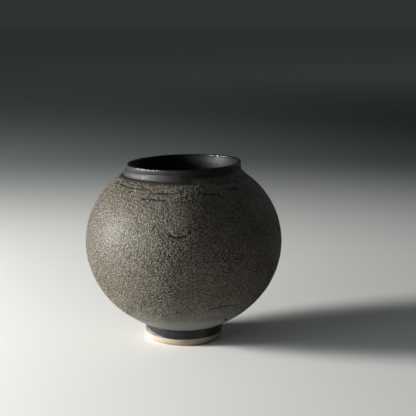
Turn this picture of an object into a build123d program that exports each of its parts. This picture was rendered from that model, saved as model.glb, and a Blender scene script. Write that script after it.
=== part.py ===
from build123d import *
from math import asin, cos, degrees, radians, sin, sqrt
import os

# Globular stoneware jar with a short black collar and a small foot ring.
#
# The jar is made the way a thrown moon jar is made. Two bowls are joined rim to rim at the belly, a thrown
# collar is luted onto the cut opening of the upper bowl, and a foot ring is luted under the lower bowl. Each
# joint is filled with slip. A gritty slip coat covers both bowls, black glaze covers the collar, the foot and
# the whole inside, and the lowest part of the foot is left as bare clay.
#
# Millimetres, +Z up. The origin is the centre of the foot, on the surface that the jar stands on. The collar
# leans a little towards +X and its lip rises on that side.

# Driving dimensions of the outer surface, all on the half section (radius, height).
belly_radius = 95.0
belly_height = 97.0
shoulder_curve = 78.0  # radius of the arc above the belly
flank_curve = 81.0  # radius of the arc just below the belly
base_curve = 100.0  # radius of the flatter arc that runs under to the foot
flank_angle = 35.5  # degrees below the belly where the flatter arc takes over

# Thicknesses.
coat = 1.0
wall = 6.0
glaze = 0.45
slip = 0.6

# Joint between the two bowls: a ridge on the upper rim sits in a groove in the lower one.
groove_depth = 2.0

# Opening in the upper bowl, and the floor of the lower one.
seat_height = 161.4
opening_radius = 51.0
floor_radius = 24.0

# Foot ring.
foot_radius = 37.9
foot_inner_radius = 30.2
glaze_line_height = 7.0
glaze_line_radius = 37.0
toe_height = 2.6
toe_radius = 36.2
rest_outer_radius = 33.8
rest_inner_radius = 31.2
heel_height = 0.9
heel_radius = 30.5
coat_edge_radius = 39.0

# Collar sections from the joint up: height, shift of the centre along X, radius. Each section is tilted a
# little more than the one below it.
collar_base = seat_height + slip
lip_height = 172.9
lip_tilt = 1.25  # degrees, the lip's +X side is the high one
collar_outside = [
    (collar_base, 0.0, 55.8),
    (164.0, -0.3, 55.9),
    (166.4, -0.7, 55.9),
    (168.6, -0.5, 55.4),
    (170.8, 0.0, 54.9),
    (lip_height, 0.5, 54.0),
]
collar_inside = [
    (collar_base, 0.0, opening_radius),
    (168.0, 0.1, 51.4),
    (lip_height, 0.5, 52.5),
]

# Cove that runs from the collar out to the shoulder, in the clay and in the glaze over it.
cove_radius = 14.0
clay_cove_low = 59.0
clay_cove_high = (54.2, 168.6)
glaze_cove_high = (54.6, 169.0)

shoulder_centre = belly_radius - shoulder_curve
flank_centre = belly_radius - flank_curve
base_centre_radius = flank_centre - (base_curve - flank_curve) * cos(radians(flank_angle))
base_centre_height = belly_height + (base_curve - flank_curve) * sin(radians(flank_angle))
clay_face = coat
inner_face = coat + wall
liner_face = inner_face + glaze


def shoulder_radius_at(depth, height):
    """Radius of the surface this far under the outer one, at a height above the belly."""
    return shoulder_centre + sqrt((shoulder_curve - depth) ** 2 - (height - belly_height) ** 2)


def shoulder_height_at(depth, radius):
    """Height of the same surface at a radius."""
    return belly_height + sqrt((shoulder_curve - depth) ** 2 - (radius - shoulder_centre) ** 2)


def flank_radius_at(depth, height):
    """Radius of the surface just below the belly."""
    return flank_centre + sqrt((flank_curve - depth) ** 2 - (height - belly_height) ** 2)


def base_height_at(depth, radius):
    """Height of the surface that runs under to the foot."""
    return base_centre_height - sqrt((base_curve - depth) ** 2 - (radius - base_centre_radius) ** 2)


def shoulder_arc(depth, low, high):
    """Arc above the belly, from one height up to another."""
    radius = shoulder_curve - depth
    start = degrees(asin((low - belly_height) / radius))
    end = degrees(asin((high - belly_height) / radius))
    return CenterArc((shoulder_centre, belly_height), radius, start, end - start)


def flank_arc(depth, high):
    """Arc from a height just below the belly down to where the flatter arc starts."""
    radius = flank_curve - depth
    start = degrees(asin((high - belly_height) / radius))
    return CenterArc((flank_centre, belly_height), radius, start, -flank_angle - start)


def base_arc(depth, radius_end, radius_start=None):
    """Flatter arc under the jar, inwards to a radius, from the flank or from a given radius."""
    radius = base_curve - depth
    start = -flank_angle
    if radius_start is not None:
        start = -90 + degrees(asin((radius_start - base_centre_radius) / radius))
    end = -90 + degrees(asin((radius_end - base_centre_radius) / radius))
    return CenterArc((base_centre_radius, base_centre_height), radius, start, end - start)


def collar_plane(height, shift):
    """Plane of a collar section, level at the joint and fully tilted at the lip."""
    share = (height - collar_base) / (lip_height - collar_base)
    return Plane(origin=(shift, 0, height)).rotated((0, -lip_tilt * share, 0))


def collar_loft(sections, grow):
    """Solid through the collar's sections, grown sideways."""
    with BuildPart() as body:
        for height, shift, radius in sections:
            with BuildSketch(collar_plane(height, shift)):
                Circle(radius + grow)
        loft()
    return body.part


def round_lip(grow):
    """Half-round ring on top of the collar's tilted end face, grown on every side."""
    inner_radius = collar_inside[-1][2] - grow
    outer_radius = collar_outside[-1][2] + grow
    half = (outer_radius - inner_radius) / 2
    middle = inner_radius + half
    lip_plane = collar_plane(lip_height, collar_outside[-1][1])
    with BuildPart() as ring:
        with BuildSketch(Plane(origin=lip_plane.origin, x_dir=lip_plane.x_dir, z_dir=-lip_plane.y_dir)):
            with BuildLine():
                CenterArc((middle, 0), half, 0, 180)
                Line((inner_radius, 0), (outer_radius, 0))
            make_face()
        revolve(axis=Axis(lip_plane.origin, lip_plane.z_dir))
    return ring.part


def cove(low, high):
    """Ring with a hollow outer face between two points, solid in to the middle of the collar's wall."""
    middle = (opening_radius + high[0]) / 2
    with BuildPart() as ring:
        with BuildSketch(Plane.XZ):
            with BuildLine():
                RadiusArc(low, high, cove_radius)
                Polyline(high, (middle, high[1]), (middle, low[1]), low)
            make_face()
        revolve(axis=Axis.Z)
    return ring.part


# Points where the joints cut the clay wall.
joint_low = belly_height - slip / 2
joint_high = belly_height + slip / 2
joint_middle = belly_radius - coat - wall / 2
lower_outside = flank_radius_at(clay_face, joint_low)
lower_inside = flank_radius_at(inner_face, joint_low)
upper_outside = shoulder_radius_at(clay_face, joint_high)
upper_inside = shoulder_radius_at(inner_face, joint_high)
outer_seat_radius = shoulder_radius_at(clay_face, seat_height)
opening_low = shoulder_height_at(inner_face, opening_radius)
floor_under = base_height_at(clay_face, floor_radius)
floor_top = base_height_at(inner_face, floor_radius)
liner_floor = base_height_at(liner_face, floor_radius)

# Lower bowl: floor, flank and the grooved rim at the belly.
with BuildPart() as lower_bowl:
    with BuildSketch(Plane.XZ):
        with BuildLine():
            outside = flank_arc(clay_face, joint_low)
            under = base_arc(clay_face, floor_radius)
            Line(under @ 1, (0, floor_under))
            Line((0, floor_under), (0, floor_top))
            Line((0, floor_top), (floor_radius, floor_top))
            base_arc(inner_face, floor_radius)
            inside = flank_arc(inner_face, joint_low)
            Line(inside @ 0, (joint_middle, joint_low - groove_depth))
            Line((joint_middle, joint_low - groove_depth), outside @ 0)
        make_face()
    revolve(axis=Axis.Z)

# Upper bowl: the ridged rim at the belly, the shoulder and the seat for the collar.
with BuildPart() as upper_bowl:
    with BuildSketch(Plane.XZ):
        with BuildLine():
            outside = shoulder_arc(clay_face, joint_high, seat_height)
            Line(outside @ 1, (opening_radius, seat_height))
            Line((opening_radius, seat_height), (opening_radius, opening_low))
            inside = shoulder_arc(inner_face, joint_high, opening_low)
            Line(inside @ 0, (joint_middle, joint_high - groove_depth))
            Line((joint_middle, joint_high - groove_depth), outside @ 0)
        make_face()
    revolve(axis=Axis.Z)

# Slip squeezed between the two rims.
with BuildPart() as belly_joint_slip:
    with BuildSketch(Plane.XZ):
        with BuildLine():
            groove = Polyline(
                (lower_outside, joint_low),
                (joint_middle, joint_low - groove_depth),
                (lower_inside, joint_low),
            )
            ridge = Polyline(
                (upper_outside, joint_high),
                (joint_middle, joint_high - groove_depth),
                (upper_inside, joint_high),
            )
            ThreePointArc(groove @ 0, (belly_radius - clay_face, belly_height), ridge @ 0)
            ThreePointArc(groove @ 1, (belly_radius - inner_face, belly_height), ridge @ 1)
        make_face()
    revolve(axis=Axis.Z)

# Slip under the collar.
with BuildPart() as neck_joint_slip:
    with BuildSketch(Plane.XY.offset(seat_height)):
        Circle(outer_seat_radius)
        Circle(opening_radius, mode=Mode.SUBTRACT)
    extrude(amount=slip)

# Collar: a thrown ring that leans towards +X, with a thin rounded lip and a cove at its foot.
with BuildPart() as neck_collar:
    add(collar_loft(collar_outside, 0))
    add(cove((clay_cove_low, collar_base), clay_cove_high))
    add(collar_loft(collar_inside, 0), mode=Mode.SUBTRACT)
    add(round_lip(0))

# Foot ring, with a narrow resting face and bevels on both sides of it.
foot_top_face = clay_face - slip
foot_top_outside = base_height_at(foot_top_face, foot_radius)
foot_top_inside = base_height_at(foot_top_face, foot_inner_radius)
with BuildPart() as foot_ring:
    with BuildSketch(Plane.XZ):
        with BuildLine():
            base_arc(foot_top_face, foot_inner_radius, foot_radius)
            Polyline(
                (foot_inner_radius, foot_top_inside),
                (heel_radius, heel_height),
                (rest_inner_radius, 0),
                (rest_outer_radius, 0),
                (toe_radius, toe_height),
                (glaze_line_radius, glaze_line_height),
                (foot_radius, foot_top_outside),
            )
        make_face()
    revolve(axis=Axis.Z)

# Slip between the foot ring and the lower bowl.
with BuildPart() as foot_joint_slip:
    with BuildSketch(Plane.XZ):
        with BuildLine():
            upper = base_arc(clay_face, foot_inner_radius, foot_radius)
            lower = base_arc(foot_top_face, foot_inner_radius, foot_radius)
            Line(upper @ 0, lower @ 0)
            Line(upper @ 1, lower @ 1)
        make_face()
    revolve(axis=Axis.Z)

# Gritty coat on the lower bowl, from the belly joint down to a thin edge beside the foot.
with BuildPart() as lower_grit_coat:
    with BuildSketch(Plane.XZ):
        with BuildLine():
            face = flank_arc(0, belly_height)
            face_under = base_arc(0, coat_edge_radius)
            back_under = base_arc(clay_face, coat_edge_radius)
            back = flank_arc(clay_face, belly_height)
            Line(face_under @ 1, back_under @ 1)
            Line(face @ 0, back @ 0)
        make_face()
    revolve(axis=Axis.Z)

# Gritty coat on the upper bowl, from the belly joint up to the foot of the collar.
with BuildPart() as upper_grit_coat:
    with BuildSketch(Plane.XZ):
        with BuildLine():
            face = shoulder_arc(0, belly_height, seat_height)
            back = shoulder_arc(clay_face, belly_height, seat_height)
            Line(face @ 0, back @ 0)
            Line(face @ 1, back @ 1)
        make_face()
    revolve(axis=Axis.Z)

# Black glaze on the foot, from the bare clay line up to the edge of the coat.
glaze_top = base_height_at(clay_face, foot_radius)
coat_edge_low = base_height_at(0, coat_edge_radius)
with BuildPart() as foot_glaze:
    with BuildSketch(Plane.XZ):
        with BuildLine():
            top = base_arc(clay_face, foot_radius, coat_edge_radius)
            Polyline(
                (foot_radius, glaze_top),
                (foot_radius, foot_top_outside),
                (glaze_line_radius, glaze_line_height),
                (glaze_line_radius + glaze, glaze_line_height),
                (foot_radius + glaze, coat_edge_low - glaze),
                (coat_edge_radius, coat_edge_low),
                top @ 0,
            )
        make_face()
    revolve(axis=Axis.Z)

# Liner glaze inside both bowls and up the inside of the collar, to the start of the rounded lip.
with BuildPart() as collar_liner:
    add(collar_loft(collar_inside, 0))
    add(collar_loft(collar_inside, -glaze), mode=Mode.SUBTRACT)

throat_radius = opening_radius - glaze
throat_low = shoulder_height_at(liner_face, throat_radius)
with BuildPart() as liner_glaze:
    with BuildSketch(Plane.XZ):
        with BuildLine():
            flank_arc(inner_face, belly_height)
            base_arc(inner_face, floor_radius)
            Polyline((floor_radius, floor_top), (0, floor_top), (0, liner_floor), (floor_radius, liner_floor))
            base_arc(liner_face, floor_radius)
            flank_arc(liner_face, belly_height)
            shoulder_arc(liner_face, belly_height, throat_low)
            Polyline(
                (throat_radius, throat_low),
                (throat_radius, collar_base),
                (opening_radius, collar_base),
                (opening_radius, opening_low),
            )
            shoulder_arc(inner_face, belly_height, opening_low)
        make_face()
    revolve(axis=Axis.Z)
    add(collar_liner.part)

# Black glaze over the lip and the outside of the collar, with a cove that runs out to the coat.
coat_top_radius = shoulder_radius_at(0, seat_height)
with BuildPart() as collar_glaze:
    add(collar_loft(collar_outside, glaze))
    add(cove((coat_top_radius, seat_height), glaze_cove_high))
    add(collar_loft(collar_inside, 0), mode=Mode.SUBTRACT)
    add(round_lip(glaze))
    add(neck_collar.part, mode=Mode.SUBTRACT)
    add(neck_joint_slip.part, mode=Mode.SUBTRACT)

pieces = {
    "lower_bowl": lower_bowl,
    "upper_bowl": upper_bowl,
    "belly_joint_slip": belly_joint_slip,
    "neck_collar": neck_collar,
    "neck_joint_slip": neck_joint_slip,
    "foot_ring": foot_ring,
    "foot_joint_slip": foot_joint_slip,
    "lower_grit_coat": lower_grit_coat,
    "upper_grit_coat": upper_grit_coat,
    "collar_glaze": collar_glaze,
    "liner_glaze": liner_glaze,
    "foot_glaze": foot_glaze,
}

os.makedirs("parts", exist_ok=True)
for name, piece in pieces.items():
    piece.part.label = name
    export_step(piece.part, f"parts/{name}.step")
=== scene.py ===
import bpy
import numpy as np
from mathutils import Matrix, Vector, noise


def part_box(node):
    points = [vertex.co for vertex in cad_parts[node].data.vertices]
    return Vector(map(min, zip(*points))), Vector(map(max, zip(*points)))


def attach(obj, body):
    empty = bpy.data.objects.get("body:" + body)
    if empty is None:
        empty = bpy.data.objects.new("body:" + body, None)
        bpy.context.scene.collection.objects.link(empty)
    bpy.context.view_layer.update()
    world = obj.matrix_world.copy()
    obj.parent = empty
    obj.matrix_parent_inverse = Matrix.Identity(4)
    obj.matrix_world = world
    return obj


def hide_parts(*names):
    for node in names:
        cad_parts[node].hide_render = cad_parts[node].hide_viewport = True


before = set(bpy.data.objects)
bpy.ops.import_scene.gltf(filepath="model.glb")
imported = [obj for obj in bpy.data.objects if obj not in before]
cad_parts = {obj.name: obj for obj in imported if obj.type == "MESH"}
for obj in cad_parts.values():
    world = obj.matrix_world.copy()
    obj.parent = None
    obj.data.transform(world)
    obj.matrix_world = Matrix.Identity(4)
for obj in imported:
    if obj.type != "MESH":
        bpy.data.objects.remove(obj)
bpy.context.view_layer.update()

# The looks of a globular stoneware jar. Lengths are in metres and angles in degrees. An azimuth is counted
# round the jar from its front, -Y, positive towards +X. Each skin is a closed mesh that stands for one coat,
# glaze or clay node of the frame, with the relief of the real surface in its vertices.

MM = 0.001

# Fineness of the meshes: columns round the jar, and rows up each stretch. A hidden side that follows a seen
# one has a row for every HIDDEN_STEP rows of it.
COLUMNS = 800
LINER_COLUMNS = 360
UPPER_ROWS = 112
UPPER_BACK_ROWS = 6
LOWER_ROWS = 114
LOWER_BACK_ROWS = 8
BAND_ROWS = 34
WALL_ROWS = 26
LIP_ROWS = 25
LIP_BACK_ROWS = 10
HIDDEN_STEP = 6

# Arcs of the jar's section and thicknesses of its layers. The arcs' ends come from the frame.
FLANK_CURVE = 81 * MM
FLANK_ANGLE = 35.5
BASE_CURVE = 100 * MM
COAT = 1.0 * MM
WALL = 6.0 * MM
GLAZE = 0.45 * MM
FLOOR_RADIUS = 24 * MM

lower_coat_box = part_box("lower_grit_coat")
upper_coat_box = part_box("upper_grit_coat")
collar_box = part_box("collar_glaze")
foot_glaze_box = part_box("foot_glaze")
foot_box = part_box("foot_ring")

BELLY_RADIUS = lower_coat_box[1].x
BELLY_HEIGHT = lower_coat_box[1].z
COAT_TOP = upper_coat_box[1].z
COAT_TOP_RADIUS = collar_box[1].x
COAT_FOOT = lower_coat_box[0].z
COAT_FOOT_RADIUS = foot_glaze_box[1].x
GLAZE_LINE = foot_glaze_box[0].z

SHOULDER_RISE = COAT_TOP - BELLY_HEIGHT
SHOULDER_INSET = BELLY_RADIUS - COAT_TOP_RADIUS
SHOULDER_CURVE = (SHOULDER_RISE ** 2 + SHOULDER_INSET ** 2) / (2 * SHOULDER_INSET)

# Collar: it is level at its joint and fully tilted at the lip. The lip's height over its half width is its
# fullness. The inside has a height, a shift along X and a radius in millimetres on each row.
COLLAR_BASE = 162.0 * MM
LIP_HEIGHT = 172.9 * MM
LIP_TILT = 1.25
LIP_FULLNESS = 0.95
COLLAR_INSIDE = [
    (162.0, 0.0, 50.55),
    (168.0, 0.1, 50.95),
    (172.9, 0.5, 52.05),
]

# The lip stands highest at one place: how much in millimetres, its azimuth, and how far it spreads.
LIP_PEAK = 0.7
LIP_PEAK_AZIMUTH = 92
LIP_PEAK_SPREAD = 30

LIP_SHIFT = COLLAR_INSIDE[-1][1] * MM
LIP_INNER_RADIUS = COLLAR_INSIDE[-1][2] * MM

# The collar's outside has a rolled band with a crisp upper edge on its left and front, and a plain hollow on
# its right. Each profile is the share of the way up, and the radius there in millimetres.
BAND_ROLLED = [
    (0.0, 61.0),
    (0.10, 59.6),
    (0.22, 58.4),
    (0.34, 57.8),
    (0.55, 57.6),
    (0.80, 57.3),
    (1.0, 56.9),
]
BAND_PLAIN = [(0.0, 61.0), (0.28, 59.3), (0.50, 57.6), (0.72, 56.4), (0.86, 55.9), (1.0, 55.6)]
WALL_LEANING = [(0.0, 56.9), (0.5, 55.4), (1.0, 54.2)]
WALL_UPRIGHT = [(0.0, 55.6), (0.5, 55.3), (1.0, 55.2)]
# Azimuth where the band is most rolled, and the height of its upper edge: azimuth, millimetres.
ROLLED_SIDE = -75
BAND_TOP = [(-150, 167.6), (-75, 167.2), (-50, 168.3), (-22, 169.2), (6, 168.0), (60, 167.6)]

# Camera: its place, and how far it looks down and turns to the right.
CAMERA_PLACE = (0.0, -0.9932, 0.3159)
CAMERA_DOWN = 10.683
CAMERA_TURN = 1.3586
CAMERA_LENS = 90.0

# Floor: its size, and how far out its tone changes from pale to the far tone, a painted shade that is lighter
# on the left as painted light, and from that to the horizon's.
FLOOR_SIZE = 40.0
FLOOR_SHADE_REACH = (0.40, 1.35)
HORIZON_REACH = (2.0, 5.0)

# Soft square lights that face the belly: name, place, size in metres, power in watts, colour.
LIGHTS = [
    ("key_light", (-1.504, -0.118, 0.404), 0.36, 74, (1.0, 0.98, 0.95)),
    ("bounce_light", (-0.48, -0.50, 0.05), 0.45, 0.8, (1.0, 0.98, 0.92)),
    ("window_light", (-1.01, -0.68, 0.55), 0.6, 3.5, (0.82, 0.91, 1.0)),
    ("top_light", (0.1, -0.1, 1.5), 1.2, 0.8, (0.95, 0.98, 1.0)),
    ("fill_light", (1.0, 0.8, 0.7), 0.9, 1.0, (0.92, 0.96, 1.0)),
]

# Foot: how much narrower the glazed part is at its lower edge, and the corners of the clay round the section.
FOOT_TAPER = 0.9 * MM
TOE_RADIUS = 36.2 * MM
TOE_HEIGHT = 2.6 * MM
REST_OUTER_RADIUS = 33.8 * MM
REST_INNER_RADIUS = 31.2 * MM
HEEL_RADIUS = 30.5 * MM
HEEL_HEIGHT = 0.9 * MM
FOOT_INNER_RADIUS = 30.2 * MM
FOOT_INNER_TOP = 12.9 * MM

# Long drag lines and tears in the coat, with painted shade in their grooves, in degrees and millimetres:
# azimuth at each end, height at each end, width, depth.
DRAG_LINES = [
    (-75, -41, 158.0, 156.8, 0.8, 0.5),
    (-66, -33, 159.8, 158.4, 0.5, 0.3),
    (-52, -40, 154.2, 153.8, 0.6, 0.3),
    (-44, -26, 156.6, 156.9, 0.6, 0.35),
    (-26, -9, 154.2, 154.9, 0.7, 0.45),
    (-31, -11, 149.8, 149.2, 0.9, 0.6),
    (8, 28, 154.9, 153.0, 0.7, 0.4),
    (36, 61, 156.0, 157.1, 0.7, 0.4),
    (82, 118, 157.6, 156.4, 0.8, 0.45),
    (104, 131, 150.9, 151.8, 0.7, 0.4),
    (142, 178, 158.2, 157.0, 0.8, 0.45),
    (158, 171, 147.6, 147.2, 0.6, 0.35),
    (-172, -140, 156.9, 158.0, 0.7, 0.45),
    (-131, -98, 154.0, 155.2, 0.8, 0.45),
    (-8.5, -3.5, 120.9, 118.8, 1.1, 0.6),
    (-3.5, 2.0, 118.8, 120.4, 1.0, 0.6),
    (3, 6, 123.2, 122.8, 0.9, 0.4),
    (-3.0, -0.5, 96.5, 84.5, 0.5, 0.35),
    (17, 35, 48.6, 49.6, 0.7, 0.35),
    (31, 46, 33.2, 27.2, 1.0, 0.6),
    (76, 83, 112.4, 110.9, 1.0, 0.6),
    (128, 134, 70.0, 71.5, 0.9, 0.5),
    (-152, -145, 116.0, 117.6, 1.0, 0.6),
    (-96, -84, 60.2, 59.5, 0.8, 0.4),
]

# Small bare or smeared patches: azimuth, height, half width and half height in millimetres, strength.
SMEARS = [
    (-70, 153.5, 2.2, 0.9, 0.9),
    (-67, 136.0, 2.6, 1.3, 0.8),
    (24, 118.7, 3.5, 2.2, 0.8),
    (17, 73.0, 13.0, 1.8, 0.45),
    (-7, 41.4, 12.0, 3.4, 0.8),
    (-14, 35.0, 9.0, 2.0, 0.6),
    (25, 50.0, 14.0, 1.5, 0.5),
    (24, 35.0, 15.0, 4.0, 1.0),
    (-38, 31.0, 12.0, 3.0, 0.5),
    (95, 128.0, 3.2, 1.5, 0.7),
    (150, 60.0, 12.0, 2.0, 0.5),
    (-120, 40.0, 14.0, 3.0, 0.5),
    (-160, 140.0, 3.0, 1.4, 0.7),
    (80, 34.0, 12.0, 3.0, 0.5),
]

# Colours, as linear red, green and blue.
SLIP_BROWN = (0.098, 0.081, 0.053)
SLIP_OLIVE = (0.102, 0.093, 0.069)
SLIP_LOW_DOWN = (0.196, 0.184, 0.134)
# The two grain colours are partly the grains' own tints and partly a painted highlight on their raised tops.
GRAIN_TAN_HIGHLIGHT = (0.330, 0.215, 0.100)
GRAIN_CREAM_HIGHLIGHT = (0.200, 0.200, 0.170)
# The next two colours are painted shade in the coat's hollows and pits.
HOLLOW_SHADE = (0.004, 0.004, 0.003)
PIT_SHADE = (0.003, 0.003, 0.002)
THIN_SLIP_BLACK = (0.008, 0.008, 0.007)
RUBBED_GREY = (0.130, 0.133, 0.114)
RUBBED_PALE = (0.195, 0.200, 0.170)
BRUSHED_GREY = (0.040, 0.044, 0.045)
SMEAR_GREY = (0.056, 0.061, 0.062)
SMEAR_BLACK = (0.018, 0.019, 0.020)
COLLAR_DARK = (0.005, 0.005, 0.004)
COLLAR_LIGHT = (0.011, 0.010, 0.008)
COLLAR_GRIT = (0.085, 0.074, 0.056)
LINER_DARK = (0.002, 0.002, 0.002)
LINER_LIGHT = (0.004, 0.004, 0.004)
FOOT_DARK = (0.007, 0.007, 0.007)
FOOT_LIGHT = (0.018, 0.018, 0.019)
FOOT_WORN = (0.16, 0.165, 0.170)
CLAY_PALE = (0.33, 0.295, 0.225)
CLAY_DEEP = (0.27, 0.23, 0.17)
CLAY_FLASHING = (0.56, 0.24, 0.13)
CLAY_SPECK = (0.16, 0.10, 0.06)
INNER_CLAY_PALE = (0.62, 0.55, 0.44)
INNER_CLAY_DEEP = (0.50, 0.42, 0.32)
JOINT_SLIP_PALE = (0.58, 0.50, 0.40)
JOINT_SLIP_DEEP = (0.44, 0.37, 0.29)
FLOOR_PALE = (0.75, 0.75, 0.73)
FLOOR_GRAIN = (0.73, 0.73, 0.71)
# The far floor tones are painted light and shade: lighter on the left, on the key lamp's side, darker on the
# right.
FLOOR_FAR_PAINTED_LIGHT = (0.400, 0.460, 0.440)
FLOOR_FAR_PAINTED_SHADE = (0.070, 0.085, 0.095)
FLOOR_HORIZON = (0.80, 0.82, 0.82)
ROOM_GREY = (0.028, 0.033, 0.034)


# ---------------------------------------------------------------------------------------------- helpers

def arc(centre, radius, start, end, count):
    """Points and outward normals of an arc in the half section, as rows of radius, height, normal."""
    angle = np.radians(np.linspace(start, end, count))
    normal = np.stack([np.cos(angle), np.sin(angle)], 1)
    return np.hstack([np.array(centre) + radius * normal, normal])


def perlin(points, size, octaves=1, offset=0.0):
    """Perlin noise with features of this size at each point, from about -1 to 1."""
    rows = (points / size + offset).tolist()
    return np.array([noise.fractal(row, 1.0, 2.0, octaves) for row in rows])


def cells(points, size, offset=0.0):
    """Distances to the nearest and second nearest of scattered seeds this far apart, in seed spacings."""
    rows = (points / size + offset).tolist()
    found = np.array([tuple(noise.voronoi(row)[0][:2]) for row in rows])
    return found[:, 0], found[:, 1]


def smoothstep(low, high, value):
    """0 below low, 1 above high, and a smooth rise between them."""
    t = np.clip((value - low) / (high - low), 0, 1)
    return t * t * (3 - 2 * t)


def turn(section, columns=COLUMNS):
    """Grid of points from a half section: (rows, columns, 3), with each column's azimuth in degrees."""
    azimuth = np.arange(columns) * 360 / columns - 180
    angle = np.radians(azimuth)
    radius = section[:, 0][:, None]
    height = np.broadcast_to(section[:, 1][:, None], (len(section), columns))
    grid = np.stack([radius * np.sin(angle), -radius * np.cos(angle), height], 2)
    return grid, np.broadcast_to(azimuth, (len(section), columns))


def turned_normals(section, columns=COLUMNS):
    """Outward normals that go with turn(), from a section that carries its normals."""
    return turn(section[:, 2:4], columns)[0]


def outward(points):
    """Level unit vector away from the jar's axis at each point."""
    out = points * np.array([1, 1, 0])
    return out / np.linalg.norm(out, axis=1)[:, None]


def skin(name, node, material, grid, seen_rows, strips, ends_closed=False, values=None):
    """Closed mesh from a grid that goes round each row, with its map of texture space in stacked strips."""
    rows, columns = grid.shape[:2]
    bands = rows - 1 if ends_closed else rows
    i = np.arange(bands)[:, None]
    j = np.arange(columns)[None, :]
    next_i = (i + 1) % rows
    next_j = (j + 1) % columns
    corners = [(i, j), (i, next_j), (next_i, next_j), (next_i, j)]
    quads = np.stack([a * columns + b for a, b in corners], 2).reshape(-1, 4)
    faces = quads.tolist()
    if ends_closed:
        faces.append(list(range(columns))[::-1])
        faces.append(list(range((rows - 1) * columns, rows * columns)))
    mesh = bpy.data.meshes.new(name)
    mesh.from_pydata(grid.reshape(-1, 3).tolist(), [], faces)
    mesh.polygons.foreach_set("use_smooth", [True] * len(faces))
    for key, value in (values or {}).items():
        attribute = mesh.attributes.new(key, "FLOAT", "POINT")
        attribute.data.foreach_set("value", value.astype(np.float32).ravel())
    map_strips(mesh, bands, columns, seen_rows, strips)
    piece = bpy.data.objects.new(name, mesh)
    bpy.context.scene.collection.objects.link(piece)
    mesh.materials.append(material)
    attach(piece, "root")
    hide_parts(node)


def map_strips(mesh, bands, columns, seen_rows, strips):
    """Texture space for a ring grid: seen rows fill stacked strips, hidden rows a thin band at the top."""
    seen_share = 0.94
    gap = 0.004
    row = np.arange(bands + 1, dtype=float)
    low_part = np.clip(row / seen_rows, 0, 1)
    hidden = max(bands - seen_rows, 1)
    high_part = np.clip((row - seen_rows) / hidden, 0, 1)
    i = np.repeat(np.arange(bands), columns)
    j = np.tile(np.arange(columns), bands)
    per_strip = columns // strips
    strip = j // per_strip
    left = (j % per_strip) / per_strip
    seen = i < seen_rows
    height = seen_share / strips

    def level(index):
        in_strip = strip * height + gap + low_part[index] * (height - 2 * gap)
        above = seen_share + gap + high_part[index] * (1 - seen_share - 2 * gap)
        return np.where(seen, in_strip, above)

    def across(step):
        in_strip = gap + (left + step / per_strip) * (1 - 2 * gap)
        above = gap + (j + step) / columns * (1 - 2 * gap)
        return np.where(seen, in_strip, above)

    corners = [(0, 0), (1, 0), (1, 1), (0, 1)]
    quads = np.stack([np.stack([across(a), level(i + b)], 1) for a, b in corners], 1)
    layer = mesh.uv_layers.new(name="OFBake")
    flat = quads.reshape(-1)
    coordinates = np.zeros(len(mesh.loops) * 2)
    coordinates[:len(flat)] = flat
    # The flat ends, where there are any, share a small oval in the top corner.
    if len(coordinates) > len(flat):
        angle = np.linspace(0, 4 * np.pi, len(mesh.loops) - len(quads) * 4, endpoint=False)
        disc = np.stack([0.99 + 0.004 * np.cos(angle), 0.96 + 0.01 * np.sin(angle)], 1)
        coordinates[len(flat):] = disc.reshape(-1)
    layer.data.foreach_set("uv", coordinates)


# ---------------------------------------------------------------------------------------------- materials

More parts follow.
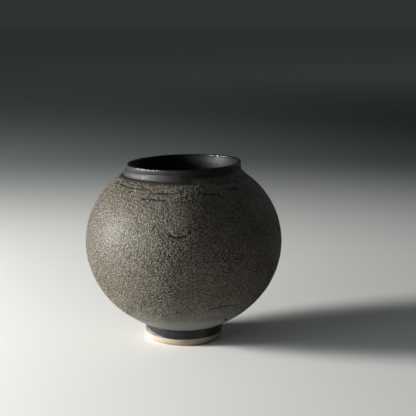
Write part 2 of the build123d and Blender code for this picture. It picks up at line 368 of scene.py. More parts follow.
class Nodes:
    """Short way to build a material's node tree."""

    def __init__(self, name):
        self.material = bpy.data.materials.new(name)
        self.material.use_nodes = True
        self.tree = self.material.node_tree
        self.tree.nodes.clear()
        self.shader = self.tree.nodes.new("ShaderNodeBsdfPrincipled")
        output = self.tree.nodes.new("ShaderNodeOutputMaterial")
        self.tree.links.new(self.shader.outputs[0], output.inputs[0])
        place = self.tree.nodes.new("ShaderNodeTexCoord")
        self.place = place.outputs["Object"]

    def link(self, source, target):
        """Feeds an input from a socket, or sets it to a constant."""
        if isinstance(source, bpy.types.NodeSocket):
            self.tree.links.new(source, target)
        else:
            target.default_value = source

    def stretched(self, scale):
        """The object's own coordinates, scaled by a different amount along each axis."""
        node = self.tree.nodes.new("ShaderNodeMapping")
        node.inputs["Scale"].default_value = scale
        self.link(self.place, node.inputs["Vector"])
        return node.outputs[0]

    def noise(self, size, detail=2.0, roughness=0.5, vector=None):
        """Noise with features of this size."""
        node = self.tree.nodes.new("ShaderNodeTexNoise")
        node.inputs["Scale"].default_value = 1 / size
        node.inputs["Detail"].default_value = detail
        node.inputs["Roughness"].default_value = roughness
        self.link(vector or self.place, node.inputs["Vector"])
        return node.outputs["Fac"]

    def cells(self, size):
        """Distance to the nearest of scattered seeds this far apart, in seed spacings."""
        node = self.tree.nodes.new("ShaderNodeTexVoronoi")
        node.inputs["Scale"].default_value = 1 / size
        self.link(self.place, node.inputs["Vector"])
        return node.outputs["Distance"]

    def axis(self, name):
        """One of the object's own coordinates."""
        node = self.tree.nodes.new("ShaderNodeSeparateXYZ")
        self.link(self.place, node.inputs[0])
        return node.outputs[name]

    def value(self, name):
        """A number that the mesh carries at each vertex."""
        node = self.tree.nodes.new("ShaderNodeAttribute")
        node.attribute_name = name
        return node.outputs["Fac"]

    def ramp(self, source, low, high, start=0.0, end=1.0):
        """Smooth change from start to end as the source goes from low to high."""
        node = self.tree.nodes.new("ShaderNodeMapRange")
        node.interpolation_type = "SMOOTHSTEP"
        self.link(source, node.inputs["Value"])
        node.inputs["From Min"].default_value = low
        node.inputs["From Max"].default_value = high
        node.inputs["To Min"].default_value = start
        node.inputs["To Max"].default_value = end
        return node.outputs["Result"]

    def mix(self, share, first, second):
        """Colour between two colours."""
        node = self.tree.nodes.new("ShaderNodeMix")
        node.data_type = "RGBA"
        self.link(share, node.inputs[0])
        for source, target in ((first, node.inputs[6]), (second, node.inputs[7])):
            self.link(source if isinstance(source, bpy.types.NodeSocket) else (*source, 1.0), target)
        return node.outputs[2]

    def math(self, operation, first, second):
        """Arithmetic on two numbers."""
        node = self.tree.nodes.new("ShaderNodeMath")
        node.operation = operation
        self.link(first, node.inputs[0])
        self.link(second, node.inputs[1])
        return node.outputs[0]

    def bump(self, height, depth):
        """Normal from a height between 0 and 1 that stands for this depth in metres."""
        node = self.tree.nodes.new("ShaderNodeBump")
        node.inputs["Strength"].default_value = 1.0
        node.inputs["Distance"].default_value = depth
        self.link(height, node.inputs["Height"])
        return node.outputs[0]

    def finish(self, colour, roughness, normal):
        """Joins colour, roughness and normal to the shader and returns the material."""
        self.link(colour, self.shader.inputs["Base Color"])
        self.link(roughness, self.shader.inputs["Roughness"])
        self.link(normal, self.shader.inputs["Normal"])
        return self.material


def slip_colour(n, coarse, gritty, pit):
    """Colour of the slip, with pale grains, partly their own tint and partly a painted highlight on their
    raised tops, painted shade in its hollows and pits, and how far in a hollow or pit it is.
    """
    patches = n.noise(22 * MM, 3.0, 0.6)
    tint = n.noise(1.3 * MM, 1.0, 0.5, n.stretched((1.0, 1.0, 1.25)))
    low_down = n.ramp(n.axis("Z"), 30 * MM, 72 * MM, 1.0, 0.0)
    colour = n.mix(n.ramp(patches, 0.35, 0.65), SLIP_BROWN, SLIP_OLIVE)
    colour = n.mix(n.math("MULTIPLY", low_down, 0.80), colour, SLIP_LOW_DOWN)
    # Painted shade: the low places of the grain noise, which the bump also sinks, go towards black.
    hollow = n.math("MULTIPLY", n.ramp(coarse, 0.40, 0.49, 1.0, 0.0), gritty)
    colour = n.mix(n.math("MULTIPLY", hollow, 0.78), colour, HOLLOW_SHADE)
    # Pale grains on the raised tops: partly their own tint, partly a painted highlight.
    grain = n.math("MULTIPLY", n.ramp(coarse, 0.53, 0.61), gritty)
    grain_highlight_colour = n.mix(n.ramp(tint, 0.44, 0.56), GRAIN_TAN_HIGHLIGHT, GRAIN_CREAM_HIGHLIGHT)
    colour = n.mix(n.math("MULTIPLY", grain, 0.45), colour, grain_highlight_colour)
    return n.mix(pit, colour, PIT_SHADE), n.math("MAXIMUM", hollow, pit)


def handled_colour(n, colour, coarse, fine, smooth):
    """The slip's colour with what hands and tools did to it: rubbed, smeared, torn and thin places, with
    painted shade in its pits and tears.
    """
    brushed = n.ramp(n.noise(1.0, 3.0, 0.6, n.stretched((40, 40, 420))), 0.42, 0.66)
    rubbed = n.mix(n.ramp(fine, 0.3, 0.7), RUBBED_GREY, RUBBED_PALE)
    rubbed = n.mix(n.math("MULTIPLY", brushed, 0.25), rubbed, BRUSHED_GREY)
    colour = n.mix(smooth, colour, rubbed)
    smear = n.mix(brushed, SMEAR_GREY, SMEAR_BLACK)
    colour = n.mix(n.math("MULTIPLY", n.value("smear"), 0.85), colour, smear)
    # Painted shade in the pits, drag lines and dashes that the mesh marks.
    colour = n.mix(n.ramp(n.value("pit"), 0.1, 0.8, 0.0, 0.96), colour, PIT_SHADE)
    edge = n.math("ADD", n.value("thin"), n.ramp(coarse, 0.3, 0.7, 0.28, -0.28))
    return n.mix(n.ramp(edge, 0.42, 0.62), colour, THIN_SLIP_BLACK)


def grit_coat_material():
    """Dry gritty slip: taupe with pale grains topped by a painted highlight, painted shade in its hollows and
    pits, black where thin, grey where it is rubbed.
    """
    n = Nodes("gritty_slip_coat")
    fine = n.noise(0.5 * MM, 2.0, 0.6)
    coarse = n.noise(1.05 * MM, 2.0, 0.60)
    smooth = n.value("smooth")
    gritty = n.ramp(smooth, 0.0, 1.0, 1.0, 0.12)
    pits = n.math("ADD", n.cells(3.0 * MM), n.ramp(coarse, 0.3, 0.7, -0.14, 0.14))
    # Painted shade in scattered pits.
    pit = n.math("MULTIPLY", n.ramp(pits, 0.15, 0.27, 1.0, 0.0), gritty)

    colour, deep = slip_colour(n, coarse, gritty, pit)
    colour = handled_colour(n, colour, coarse, fine, smooth)
    deep = n.math("MAXIMUM", deep, n.value("pit"))
    roughness = n.ramp(deep, 0.0, 1.0, 0.55, 0.95)
    n.shader.inputs["Specular IOR Level"].default_value = 0.3
    n.shader.inputs["Coat Weight"].default_value = 0.4
    n.shader.inputs["Coat Roughness"].default_value = 0.55
    lumps = n.math("SUBTRACT", n.ramp(coarse, 0.35, 0.62, 0.0, 1.0), n.math("MULTIPLY", pit, 0.6))
    relief_height = n.math("ADD", n.math("MULTIPLY", fine, 0.25), n.math("MULTIPLY", lumps, gritty))
    return n.finish(colour, roughness, n.bump(relief_height, 1.2 * MM))


def satin_glaze_material(name, dark, light, roughness, gleam):
    """Black glaze with faint turning streaks, glossy or gritty where the mesh says so."""
    n = Nodes(name)
    rings = n.noise(1.0, 4.0, 0.6, n.stretched((18, 18, 900)))
    cloud = n.noise(9 * MM, 3.0, 0.6)
    spots = n.cells(2.6 * MM)
    colour = n.mix(n.ramp(rings, 0.40, 0.70, 0.0, 0.7), dark, light)
    colour = n.mix(n.ramp(cloud, 0.5, 0.75, 0.0, 0.5), colour, light)
    n.shader.inputs["Specular IOR Level"].default_value = gleam
    satin = n.ramp(cloud, 0.3, 0.7, roughness, roughness + 0.10)
    satin = n.math("ADD", satin, n.ramp(rings, 0.4, 0.7, 0.0, 0.06))
    shine = n.math("MULTIPLY", satin, n.ramp(n.value("glossy"), 0.0, 1.0, 1.0, 0.36))
    grit = n.math("MULTIPLY", n.value("grit"), n.ramp(n.noise(1.0 * MM, 2.0), 0.42, 0.58))
    colour = n.mix(grit, colour, COLLAR_GRIT)
    beads = n.math("MULTIPLY", n.noise(0.8 * MM, 1.0), n.value("glossy"))
    height = n.math("ADD", n.math("MULTIPLY", rings, 0.6), n.ramp(spots, 0.0, 0.12, -0.4, 0.0))
    height = n.math("ADD", height, n.math("MULTIPLY", n.math("ADD", beads, grit), 4.0))
    return n.finish(colour, shine, n.bump(height, 0.08 * MM))


def foot_glaze_material():
    """Black glaze on the foot, brushed thin and grey on one side."""
    n = Nodes("foot_black_glaze")
    brush = n.noise(1.0, 5.0, 0.65, n.stretched((60, 60, 1300)))
    cloud = n.noise(11 * MM, 3.0, 0.6)
    colour = n.mix(n.ramp(brush, 0.35, 0.7), FOOT_DARK, FOOT_LIGHT)
    worn = n.math("MULTIPLY", n.value("worn"), n.ramp(brush, 0.3, 0.62))
    colour = n.mix(worn, colour, FOOT_WORN)
    n.shader.inputs["Specular IOR Level"].default_value = 0.25
    roughness = n.ramp(cloud, 0.3, 0.7, 0.34, 0.52)
    return n.finish(colour, roughness, n.bump(brush, 0.12 * MM))


def clay_material(name, pale, deep, flashing):
    """Bare fired clay with fine sand, turning marks and, where asked, an orange line under the glaze."""
    n = Nodes(name)
    sand = n.noise(0.9 * MM, 3.0, 0.7)
    cloud = n.noise(12 * MM, 3.0, 0.6)
    marks = n.noise(1.0, 3.0, 0.6, n.stretched((30, 30, 1500)))
    specks = n.cells(3.0 * MM)
    colour = n.mix(n.ramp(cloud, 0.3, 0.7), pale, deep)
    colour = n.mix(n.ramp(sand, 0.45, 0.75, 0.0, 0.35), colour, deep)
    colour = n.mix(n.ramp(specks, 0.03, 0.12, 0.7, 0.0), colour, CLAY_SPECK)
    if flashing:
        colour = n.mix(n.value("flash"), colour, CLAY_FLASHING)
    height = n.math("ADD", sand, n.math("MULTIPLY", marks, 0.8))
    return n.finish(colour, n.ramp(sand, 0.3, 0.7, 0.78, 0.92), n.bump(height, 0.16 * MM))


# ---------------------------------------------------------------------------------------------- gritty coat

def mark_along(azimuth, height, radius, line):
    """How far into a drag line each point is, 0 outside and 1 on its axis, with a ragged run."""
    start, end, start_height, end_height, width, depth = line
    share = (azimuth - start) / (end - start)
    axis = start_height + (end_height - start_height) * share
    length = np.radians(abs(end - start)) * radius
    slope = abs(end_height - start_height) * MM / length
    away = np.abs(height - axis * MM) / np.sqrt(1 + slope ** 2) / (1.45 * width * MM)
    ends = smoothstep(-0.02, 0.06, share) * smoothstep(1.02, 0.94, share)
    return np.clip(1 - away, 0, 1) ** 0.7 * ends, depth * MM


def grit_strength(points, height, foot_fade):
    """How rough the coat is at each point: less in patches, on the shoulder, by the collar, at the foot."""
    patches = 0.5 + 0.5 * smoothstep(-0.3, 0.25, perlin(points, 26 * MM, 2, 3.1))
    below = smoothstep(BELLY_HEIGHT + 45 * MM, BELLY_HEIGHT - 5 * MM, height)
    top_fade = smoothstep(COAT_TOP + 0.5 * MM, COAT_TOP - 6 * MM, height)
    return patches * (0.70 + 0.30 * below) * (0.10 + 0.90 * foot_fade) * (0.60 + 0.40 * top_fade)


def grit_relief(points, height, lumps, strength):
    """Height of the coat's waves, grains and craters at each point, and how far each point is in a crater."""
    broad = perlin(points, 14 * MM, 2, 9.7)
    fine = perlin(points, 0.95 * MM, 1, 5.9)
    near, second = cells(points, 2.2 * MM, 2.2)
    worms = 1 - np.clip(np.abs(perlin(points, 1.9 * MM, 1, 8.4)) / 0.22, 0, 1)
    crater = smoothstep(0.45, 0.12, near) * smoothstep(-0.08, 0.22, perlin(points, 5 * MM, 1, 7.7))
    rings = np.sin(height / (2.1 * MM) + 2.2 * perlin(points, 40 * MM, 1, 4.4))
    grit = 0.06 * lumps + 0.85 * fine + 0.05 * worms + 0.08 * (second - near) - 0.55 * crater
    return MM * (0.07 * broad + 0.04 * rings + strength * grit), crater * strength


def torn_lines(points, azimuth, height, radius):
    """How far into a long drag line each point is, and how deep the line is there."""
    broken = smoothstep(-0.42, -0.15, perlin(points, 5.5 * MM, 1, 2.9))
    torn = np.zeros_like(height)
    depth = np.zeros_like(height)
    for line in DRAG_LINES:
        inside, cut = mark_along(azimuth, height, radius, line)
        inside = inside * broken
        depth += 1.2 * cut * inside
        torn = np.maximum(torn, inside)
    return torn, depth


def short_dashes(points, height):
    """How far into one of the many short dashes near the collar each point is."""
    dragged = perlin(points * np.array([1, 1, 12]), 13 * MM, 2, 12.3)
    near_top = smoothstep(COAT_TOP - 20 * MM, COAT_TOP - 8 * MM, height)
    clumps = smoothstep(-0.1, 0.2, perlin(points, 9 * MM, 1, 15.1))
    return smoothstep(0.30, 0.50, dragged) * clumps * near_top


def smeared_patches(azimuth, height, radius, lumps):
    """How far into a smeared patch each point is."""
    smear = np.zeros_like(height)
    for spot_azimuth, spot_height, half_width, half_height, amount in SMEARS:
        turned = (azimuth - spot_azimuth + 180) % 360 - 180
        across = np.radians(turned) * radius / (half_width * MM)
        up = (height - spot_height * MM) / (half_height * MM)
        patch = amount * smoothstep(1.3, 0.5, np.sqrt(across ** 2 + up ** 2) + 0.6 * lumps)
        smear = np.maximum(smear, patch)
    return smear


def relief(points, azimuth, height, radius):
    """Relief of the gritty coat at each point of its face, and the numbers its material reads."""
    # The zone above the foot is rubbed smooth, highest at the front.
    rubbed_top = 36 * MM + 15 * MM * smoothstep(-60, 0, azimuth) - 6 * MM * smoothstep(0, 60, azimuth)
    rubbed_top = rubbed_top + 6 * MM * perlin(points, 18 * MM, 2, 0.7)
    foot_fade = smoothstep(COAT_FOOT + 4 * MM, rubbed_top, height)
    warp = 1.1 * MM * perlin(points, 6 * MM, 2, 6.1) + 0.5 * MM * perlin(points, 1.6 * MM, 1, 8.2)
    lumps = perlin(points, 2.6 * MM, 2, 1.3)

    strength = grit_strength(points, height, foot_fade)
    rise, crater = grit_relief(points, height, lumps, strength)
    torn, torn_depth = torn_lines(points, azimuth, height + 0.45 * warp, radius)
    dashes = short_dashes(points, height)
    smear = smeared_patches(azimuth, height + 0.6 * warp, radius, lumps)
    smooth = np.maximum(0.85 * (1 - foot_fade), smear)
    rise -= torn_depth + 0.35 * MM * dashes + 0.10 * MM * smooth * foot_fade
    # Painted shade: this marks the craters, drag lines and dashes that the material darkens towards black.
    pit = np.maximum(np.maximum(crater, torn), 0.9 * dashes)

    thin = smoothstep(COAT_TOP - 3.5 * MM, COAT_TOP + 0.8 * MM, height + 1.2 * warp)
    thin = np.maximum(thin, 0.9 * smoothstep(COAT_FOOT + 1.2 * MM, COAT_FOOT + 0.2 * MM, height))
    rise = np.clip(rise, -0.85 * MM, 0.6 * MM)
    rise *= smoothstep(COAT_TOP, COAT_TOP - 2 * MM, height)
    rise *= smoothstep(COAT_FOOT, COAT_FOOT + 1.5 * MM, height)
    return rise, {"pit": pit, "smooth": smooth, "smear": smear, "thin": thin}


def coat_skin(name, node, material, face, back):
    """One half of the gritty coat: a dense face with its relief, and a plain back against the clay."""
    grid, azimuth = turn(face)
    normals = turned_normals(face)
    points = grid.reshape(-1, 3)
    height = points[:, 2]
    radius = np.hypot(points[:, 0], points[:, 1])
    rise, values = relief(points, azimuth.ravel(), height, radius)
    moved = grid + normals * rise.reshape(grid.shape[:2])[:, :, None]
    back_grid, _ = turn(back[::-1])
    whole = np.concatenate([moved, back_grid])
    padded = {key: np.pad(value, (0, back_grid.shape[0] * COLUMNS)) for key, value in values.items()}
    skin(name, node, material, whole, len(face) - 1, 2, values=padded)


def shoulder_arc(depth, count):
    """Section of the upper bowl this far under its surface, from the belly up to the coat's top."""
    radius = SHOULDER_CURVE - depth
    top = np.degrees(np.arcsin(SHOULDER_RISE / radius))
    return arc((BELLY_RADIUS - SHOULDER_CURVE, BELLY_HEIGHT), radius, 0, top, count)


def flank_arcs(depth, end_radius, count):
    """Section of the lower bowl this far under its surface, from a radius on its underside to the belly."""
    flank_centre = (BELLY_RADIUS - FLANK_CURVE, BELLY_HEIGHT)
    turn_angle = np.radians(FLANK_ANGLE)
    reach = BASE_CURVE - FLANK_CURVE
    base_centre = (
        flank_centre[0] - reach * np.cos(turn_angle),
        flank_centre[1] + reach * np.sin(turn_angle),
    )
    base_radius = BASE_CURVE - depth
    start = -90 + np.degrees(np.arcsin((end_radius - base_centre[0]) / base_radius))
    base_length = base_radius * np.radians(-FLANK_ANGLE - start)
    flank_length = (FLANK_CURVE - depth) * turn_angle
    base_count = int(round(count * base_length / (base_length + flank_length)))
    base = arc(base_centre, base_radius, start, -FLANK_ANGLE, base_count + 1)[:-1]
    flank = arc(flank_centre, FLANK_CURVE - depth, -FLANK_ANGLE, 0, count - base_count)
    return np.concatenate([base, flank])


def make_coats():
    """Both halves of the gritty coat."""
    material = grit_coat_material()
    face = shoulder_arc(0, UPPER_ROWS)
    back = shoulder_arc(COAT, UPPER_BACK_ROWS)
    coat_skin("upper_coat_skin", "upper_grit_coat", material, face, back)
    face = flank_arcs(0, COAT_FOOT_RADIUS, LOWER_ROWS)
    back = flank_arcs(COAT, COAT_FOOT_RADIUS, LOWER_BACK_ROWS)
    coat_skin("lower_coat_skin", "lower_grit_coat", material, face, back)


# ---------------------------------------------------------------------------------------------- glazes

def smooth_curve(points, places):
    """Values at each place on a smooth curve through points, each of them a place followed by its values."""
    known = np.array(points, dtype=float)
    slopes = np.gradient(known[:, 1:], known[:, 0], axis=0)
    k = np.clip(np.searchsorted(known[:, 0], places) - 1, 0, len(known) - 2)
    span = (known[k + 1, 0] - known[k, 0])[:, None]
    t = (places[:, None] - known[k, 0][:, None]) / span
    value = (2 * t ** 3 - 3 * t ** 2 + 1) * known[k, 1:] + (3 * t ** 2 - 2 * t ** 3) * known[k + 1, 1:]
    return value + ((t ** 3 - 2 * t ** 2 + t) * slopes[k] + (t ** 3 - t ** 2) * slopes[k + 1]) * span


def around(columns):
    """Angle of each column of a grid, in radians from the front."""
    return np.radians(np.arange(columns) * 360 / columns - 180)


def tilt_lift(height, x):
    """How much the collar's tilt lifts a point this far along X from the middle of its section."""
    share = np.clip((height - COLLAR_BASE) / (LIP_HEIGHT - COLLAR_BASE), 0, 1.15)
    return np.tan(np.radians(LIP_TILT * share)) * x


def tilted_circles(heights, shifts, radii, columns):
    """Grid of circles with shifted centres, each tilted by its share of the lip's tilt."""
    angle = around(columns)[None, :]
    height, shift, radius = heights[:, None], shifts[:, None], radii[:, None]
    x = shift + radius * np.sin(angle)
    y = -radius * np.cos(angle)
    z = height + tilt_lift(height, x - shift)
    return np.stack(np.broadcast_arrays(x, y, z), 2)


def lip_rise(grid):
    """Uneven lip: how much higher than the tilted circles it stands, by the place round the collar."""
    x, y, z = grid[..., 0], grid[..., 1], grid[..., 2]
    azimuth = np.degrees(np.arctan2(x, -y))
    flat = np.stack([x, y, np.full_like(x, 0.2)], -1).reshape(-1, 3)
    wander = 0.22 * perlin(flat, 22 * MM, 2, 1.9).reshape(x.shape)
    peak = LIP_PEAK * np.exp(-((azimuth - LIP_PEAK_AZIMUTH) / LIP_PEAK_SPREAD) ** 2)
    return (peak + wander) * MM * smoothstep(LIP_HEIGHT - 4 * MM, LIP_HEIGHT, z)


def along(profile, share):
    """Radius in metres at each share of the way up a profile."""
    return smooth_curve(profile, np.ravel(share)).reshape(np.shape(share)) * MM


def collar_wall():
    """Grid of the collar's outside, from just above the coat's top edge, over the band's edge, to the lip."""
    azimuth = np.degrees(around(COLUMNS))[None, :]
    rolled = smoothstep(-1.0, 0.5, np.cos(np.radians(azimuth - ROLLED_SIDE)))
    edge = np.interp(azimuth, *np.array(BAND_TOP).T, period=360) * MM
    low = np.linspace(0, 1, BAND_ROWS + 1)[1:, None]
    high = np.linspace(0, 1, WALL_ROWS + 1)[1:, None]
    band = along(BAND_PLAIN, low) + rolled * (along(BAND_ROLLED, low) - along(BAND_PLAIN, low))
    wall = along(WALL_UPRIGHT, high) + rolled * (along(WALL_LEANING, high) - along(WALL_UPRIGHT, high))
    radius = np.concatenate([band, wall])
    height = np.concatenate([COAT_TOP + (edge - COAT_TOP) * low, edge + (LIP_HEIGHT - edge) * high])
    angle = np.radians(azimuth)
    x = radius * np.sin(angle)
    y = np.broadcast_to(-radius * np.cos(angle), x.shape)
    return np.stack([x, y, height + tilt_lift(height, x)], 2)


def lip_circle(height, radius):
    """One circle of the tilted lip, as a grid of one row."""
    return tilted_circles(np.array([height]), np.array([LIP_SHIFT]), np.array([radius]), COLUMNS)


def collar_lip(outer_edge):
    """Grid of the rounded lip, from the wall's upper edge over to the inside."""
    inner_edge = lip_circle(LIP_HEIGHT, LIP_INNER_RADIUS)
    middle = (inner_edge + outer_edge) / 2
    half = (outer_edge - inner_edge) / 2
    angle = np.radians(np.linspace(0, 180, LIP_ROWS + 1))[1:, None, None]
    up = np.linalg.norm(half, axis=2, keepdims=True) * np.array([0, 0, 1]) * LIP_FULLNESS
    return middle + half * np.cos(angle) + up * np.sin(angle) ** 0.8


def roughened_collar(face):
    """The collar's face with turning marks, dents and a beaded lip, and the numbers its material reads."""
    points = face.reshape(-1, 3)
    out = outward(points)
    height = points[:, 2] - tilt_lift(points[:, 2], points[:, 0])
    on_wall = smoothstep(COAT_TOP, COAT_TOP + 1 * MM, height)
    on_wall *= smoothstep(LIP_HEIGHT, LIP_HEIGHT - 2 * MM, height)
    marks = np.sin(height / (0.24 * MM) + 3.0 * perlin(points, 24 * MM, 1, 3.3))
    dents = 0.09 * perlin(points, 13 * MM, 2, 8.8) + 0.035 * perlin(points, 2.2 * MM, 2, 4.1)
    points = points + out * (on_wall * (0.015 * marks + dents) * MM)[:, None]

    on_lip = smoothstep(LIP_HEIGHT - 0.7 * MM, LIP_HEIGHT + 0.1 * MM, height)
    beads = 0.12 * perlin(points, 3.2 * MM, 2, 6.6) + 0.14 * perlin(points, 1.1 * MM, 1, 2.8)
    points[:, 2] += on_lip * beads * MM
    points += out * (on_lip * 0.26 * perlin(points, 1.2 * MM, 1, 9.2) * MM)[:, None]

    # The gritty slip climbs the cove on the front right.
    azimuth = np.degrees(np.arctan2(points[:, 0], -points[:, 1]))
    climb = COAT_TOP + 4.2 * MM + 1.5 * MM * perlin(points, 6 * MM, 2, 7.4)
    grit = smoothstep(4, 16, azimuth) * smoothstep(75, 45, azimuth)
    grit *= smoothstep(climb + 0.6 * MM, climb, height)
    return points.reshape(face.shape), {"glossy": on_lip, "grit": grit}


def collar_back(wall):
    """Grid of the glaze's hidden side against the clay: under the lip and down the wall."""
    outer_radius = np.hypot(wall[-1, :, 0] - LIP_SHIFT, wall[-1, :, 1]).min()
    half = (outer_radius - LIP_INNER_RADIUS) / 2 - GLAZE
    angle = np.radians(np.linspace(180, 0, LIP_BACK_ROWS))
    radius = (outer_radius + LIP_INNER_RADIUS) / 2 + half * np.cos(angle)
    shift = np.full(LIP_BACK_ROWS, LIP_SHIFT)
    lip = tilted_circles(LIP_HEIGHT + half * np.sin(angle), shift, radius, COLUMNS)
    side = wall[::-HIDDEN_STEP][1:].copy()
    distance = np.hypot(side[..., 0], side[..., 1])
    side[..., :2] *= ((distance - GLAZE) / distance)[..., None]
    return np.concatenate([lip, side])


def make_collar():
    """Black satin glaze on the collar: the cove, a wall with faint turning marks, and a thin glossy lip."""
    foot_edge, _ = turn(np.array([(COAT_TOP_RADIUS, COAT_TOP)]))
    wall = collar_wall()
    face = np.concatenate([foot_edge, wall, collar_lip(wall[-1:])])
    face[..., 2] += lip_rise(face)
    face, values = roughened_collar(face)
    face[-1] = lip_circle(LIP_HEIGHT - 0.6 * MM, LIP_INNER_RADIUS - 0.2 * MM)[0]
    whole = np.concatenate([face, collar_back(wall)])
    hidden = (0, (len(whole) - len(face)) * COLUMNS)
    values = {key: np.pad(value, hidden) for key, value in values.items()}
    material = satin_glaze_material("collar_black_glaze", COLLAR_DARK, COLLAR_LIGHT, 0.54, 0.36)
    seen_rows = len(face) - 1
    skin("collar_glaze_skin", "collar_glaze", material, whole, seen_rows, 3, values=values)


def liner_section():
    """Half section of the inside, from the middle of the floor up to the collar's foot."""
    under = COAT + WALL + GLAZE
    throat = COLLAR_INSIDE[0][2] * MM
    low = flank_arcs(under, FLOOR_RADIUS, 70)
    floor = np.array([(r, low[0, 1], 0, -1) for r in np.linspace(1 * MM, FLOOR_RADIUS, 16)[:-1]])
    shoulder = shoulder_arc(under, 64)[1:]
    shoulder = shoulder[shoulder[:, 0] > throat + 0.3 * MM]
    across = throat - BELLY_RADIUS + SHOULDER_CURVE
    throat_low = BELLY_HEIGHT + np.sqrt((SHOULDER_CURVE - under) ** 2 - across ** 2)
    neck_heights = np.linspace(throat_low + 0.4 * MM, COLLAR_BASE, 8)
    neck = np.array([(throat, height, 1, 0) for height in neck_heights])
    return np.concatenate([floor, low, shoulder, neck])


def throwing_rings(points):
    """How far the rings left by throwing stand into the jar at each point, less at the floor and neck."""
    rings = np.sin(points[:, 2] / (0.9 * MM) + 2.0 * perlin(points, 50 * MM, 1, 5.0))
    inward = 0.22 * MM * (rings + 0.5 * perlin(points, 10 * MM, 2, 2.0) - 1.0)
    quiet = smoothstep(COLLAR_BASE, COLLAR_BASE - 12 * MM, points[:, 2])
    quiet *= smoothstep(8 * MM, FLOOR_RADIUS, np.hypot(points[:, 0], points[:, 1]))
    return inward * quiet


def make_liner():
    """Black glaze inside: throwing rings up the wall, a round throat, and a flat floor."""
    section = liner_section()
    grid, _ = turn(section, LINER_COLUMNS)
    normals = turned_normals(section, LINER_COLUMNS)
    inward = throwing_rings(grid.reshape(-1, 3)).reshape(grid.shape[:2])
    grid = grid + normals * inward[:, :, None]

    heights = np.linspace(COLLAR_BASE, LIP_HEIGHT, 14)[1:]
    shifts, radii = (smooth_curve(COLLAR_INSIDE, heights / MM) * MM).T
    collar = tilted_circles(heights, shifts, radii, LINER_COLUMNS)
    collar[..., 2] += lip_rise(collar)
    angle = around(LINER_COLUMNS)
    level = np.stack([np.sin(angle), -np.cos(angle), np.zeros_like(angle)], 1)
    sideways = level[None].repeat(len(collar), 0)
    seen = np.concatenate([grid, collar])
    hidden = seen + np.concatenate([normals, sideways]) * GLAZE * 0.95
    hidden = np.concatenate([hidden[:-1:HIDDEN_STEP], hidden[-1:]])
    whole = np.concatenate([seen, hidden[::-1]])[:, ::-1]
    material = satin_glaze_material("liner_black_glaze", LINER_DARK, LINER_LIGHT, 0.46, 0.17)
    seen_rows = len(seen) - 1
    skin("liner_glaze_skin", "liner_glaze", material, whole, seen_rows, 2, ends_closed=True)


def foot_glaze_section(low_radius, high_radius, top):
    """Half section of the band: it swells from its lower edge and ends under the coat."""
    t = np.linspace(0, 1, 26)
    radius = low_radius + (high_radius - low_radius) * t + GLAZE * np.minimum(1, np.sqrt(t / 0.08))
    height = GLAZE_LINE + (top - GLAZE_LINE) * t
    face = np.stack([radius, height, np.ones_like(t), np.zeros_like(t)], 1)
    cove = np.array([(COAT_FOOT_RADIUS - 0.1 * MM, COAT_FOOT + 0.1 * MM, 0.7, -0.7)])
    return np.concatenate([face, cove])


def foot_glaze_relief(points, normals, share):
    """The band's points with turning marks and a wavering lower edge."""
    line = np.stack([points[:, 0], points[:, 1], np.full(len(points), 0.1)], 1)
    waver = 0.35 * MM * perlin(line, 14 * MM, 2, 1.0) + 0.12 * MM * perlin(line, 3 * MM, 1, 2.0)
    marks = np.sin(points[:, 2] / (0.22 * MM) + 3 * perlin(points, 20 * MM, 1, 7.0))
    depth = MM * (0.04 * marks + 0.06 * perlin(points, 5 * MM, 2, 3.0)) * smoothstep(0.0, 0.12, share)
    depth *= smoothstep(1.0, 0.9, share)
    points = points + normals * depth[:, None]
    points[:, 2] += waver * (1 - share)
    return points


def make_foot_glaze():
    """Black band on the foot, with a wavering lower edge, brushed thin on the left."""
    high_radius = foot_box[1].x
    low_radius = high_radius - FOOT_TAPER
    top = COAT_FOOT - 0.15 * MM
    face = foot_glaze_section(low_radius, high_radius, top)
    grid, azimuth = turn(face)
    azimuth = azimuth.ravel()
    points = grid.reshape(-1, 3)
    normals = turned_normals(face).reshape(-1, 3)
    share = np.clip((points[:, 2] - GLAZE_LINE) / (top - GLAZE_LINE), 0, 1)
    points = foot_glaze_relief(points, normals, share)
    # The worn patch starts near its left end and slants down to the right.
    left_side = smoothstep(75, 40, np.abs((azimuth + 55 + 180) % 360 - 180))
    slant = smoothstep(0.0, 0.22, 0.85 - share - (azimuth + 78) / 70)
    worn = left_side * slant * smoothstep(-78, -66, azimuth)
    back = np.array([(high_radius, COAT_FOOT + 0.4 * MM, 0, 0), (low_radius, GLAZE_LINE, 0, 0)])
    back_grid, _ = turn(back)
    whole = np.concatenate([points.reshape(grid.shape), back_grid])
    values = {"worn": np.pad(worn, (0, len(back) * COLUMNS))}
    material = foot_glaze_material()
    skin("foot_glaze_skin", "foot_glaze", material, whole, len(face) - 1, 4, values=values)


def foot_section():
    """Section of the foot ring, once round from its resting face, with its corners worn round."""
    top_radius = foot_box[1].x
    corners = [
        (REST_INNER_RADIUS, 0.0, 6),
        (REST_OUTER_RADIUS, 0.0, 10),
        (TOE_RADIUS, TOE_HEIGHT, 12),
        (top_radius - FOOT_TAPER, GLAZE_LINE, 14),
        (top_radius, foot_box[1].z, 6),
        (FOOT_INNER_RADIUS, FOOT_INNER_TOP, 14),
        (HEEL_RADIUS, HEEL_HEIGHT, 4),
    ]
    rows = []
    for (r0, z0, count), (r1, z1, _) in zip(corners, corners[1:] + corners[:1]):
        for t in np.linspace(0, 1, count, endpoint=False):
            rows.append((r0 + (r1 - r0) * t, z0 + (z1 - z0) * t))
    section = np.array(rows)
    for _ in range(2):
        section = (np.roll(section, 1, 0) + 2 * section + np.roll(section, -1, 0)) / 4
    section[:, 1] -= section[:, 1].min()
    return section


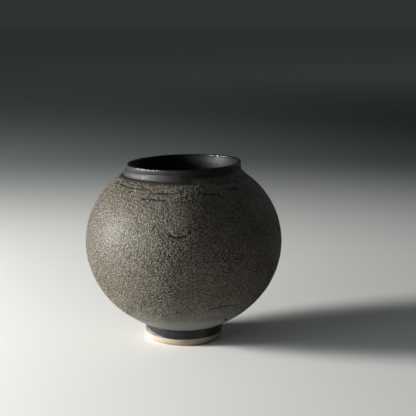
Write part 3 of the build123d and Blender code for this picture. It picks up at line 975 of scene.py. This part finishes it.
def foot_relief(points):
    """The bare foot's points with turning marks and dents, none at the resting face or at the glaze."""
    height = points[:, 2]
    marks = np.sin(height / (0.26 * MM) + 3 * perlin(points, 18 * MM, 1, 2.0))
    depth = MM * (0.035 * marks + 0.07 * perlin(points, 6 * MM, 2, 4.0))
    depth *= smoothstep(0.1 * MM, 1.0 * MM, height)
    depth *= smoothstep(GLAZE_LINE, GLAZE_LINE - 1 * MM, height)
    side = np.sign(np.hypot(points[:, 0], points[:, 1]) - 33 * MM)
    return points + outward(points) * (depth * side)[:, None]


def make_foot():
    """Bare clay foot ring with turning marks and the orange line at the edge of the glaze."""
    section = foot_section()
    grid, _ = turn(section)
    height = grid[..., 2].ravel()
    points = foot_relief(grid.reshape(-1, 3))
    wave = 0.4 * MM * perlin(points, 9 * MM, 2, 6.0)
    outer_side = smoothstep(35 * MM, 36 * MM, np.hypot(points[:, 0], points[:, 1]))
    flash = smoothstep(GLAZE_LINE - 1.3 * MM, GLAZE_LINE - 0.5 * MM, height + wave) * outer_side
    material = clay_material("bare_cream_clay", CLAY_PALE, CLAY_DEEP, True)
    whole = points.reshape(grid.shape)
    values = {"flash": 0.7 * flash}
    skin("foot_ring_skin", "foot_ring", material, whole, len(section), 4, values=values)


def dress_hidden_clay():
    """Clay and slip for the pieces under the skins."""
    clay = clay_material("inner_clay", INNER_CLAY_PALE, INNER_CLAY_DEEP, False)
    slip = clay_material("joint_slip", JOINT_SLIP_PALE, JOINT_SLIP_DEEP, False)
    dressed = [
        (clay, ("lower_bowl", "upper_bowl", "neck_collar")),
        (slip, ("belly_joint_slip", "neck_joint_slip", "foot_joint_slip")),
    ]
    for material, nodes in dressed:
        for node in nodes:
            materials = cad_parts[node].data.materials
            materials.clear()
            materials.append(material)


# ---------------------------------------------------------------------------------------------- stage

def make_floor():
    """Pale floor that darkens with distance and towards the right as painted shade, lighter on the left as
    painted light, and meets the dark room without a line.
    """
    bpy.ops.mesh.primitive_plane_add(size=FLOOR_SIZE, location=(0, 0, 0))
    floor = bpy.context.object
    floor.name = "floor"
    n = Nodes("pale_floor")
    grain = n.noise(3 * MM, 2.0)
    reach = n.tree.nodes.new("ShaderNodeVectorMath")
    reach.operation = "LENGTH"
    n.link(n.place, reach.inputs[0])
    pale = n.mix(n.ramp(grain, 0.3, 0.7), FLOOR_PALE, FLOOR_GRAIN)
    # Painted light and shade on the far floor: lighter to the left, darker to the right.
    far = n.mix(n.ramp(n.axis("X"), -1.2, 1.0), FLOOR_FAR_PAINTED_LIGHT, FLOOR_FAR_PAINTED_SHADE)
    far = n.mix(n.ramp(reach.outputs["Value"], *HORIZON_REACH), far, FLOOR_HORIZON)
    colour = n.mix(n.ramp(reach.outputs["Value"], *FLOOR_SHADE_REACH), pale, far)
    floor.data.materials.append(n.finish(colour, 0.6, n.bump(grain, 0.02 * MM)))


def make_lights(target):
    """Key from the left, cool window and low bounce at the front left, faint top and fill, dark room."""
    for name, place, size, power, colour in LIGHTS:
        data = bpy.data.lights.new(name, "AREA")
        data.shape = "SQUARE"
        data.size = size
        data.energy = power
        data.color = colour
        lamp = bpy.data.objects.new(name, data)
        lamp.location = place
        aim = Vector(target) - Vector(place)
        lamp.rotation_euler = aim.to_track_quat("-Z", "Y").to_euler()
        bpy.context.scene.collection.objects.link(lamp)
    world = bpy.data.worlds.new("room")
    world.use_nodes = True
    background = world.node_tree.nodes["Background"]
    background.inputs[0].default_value = (*ROOM_GREY, 1.0)
    background.inputs[1].default_value = 1.0
    bpy.context.scene.world = world


def make_camera():
    """Camera a little above the jar, looking slightly down."""
    data = bpy.data.cameras.new("camera")
    data.sensor_width = 36
    data.lens = CAMERA_LENS
    camera = bpy.data.objects.new("camera", data)
    camera.location = CAMERA_PLACE
    camera.rotation_euler = np.radians((90 - CAMERA_DOWN, 0.0, -CAMERA_TURN))
    bpy.context.scene.collection.objects.link(camera)
    bpy.context.scene.camera = camera


make_coats()
make_collar()
make_liner()
make_foot_glaze()
make_foot()
dress_hidden_clay()
make_floor()
make_lights((0, 0, BELLY_HEIGHT))
make_camera()
bpy.context.scene.view_settings.view_transform = "Standard"
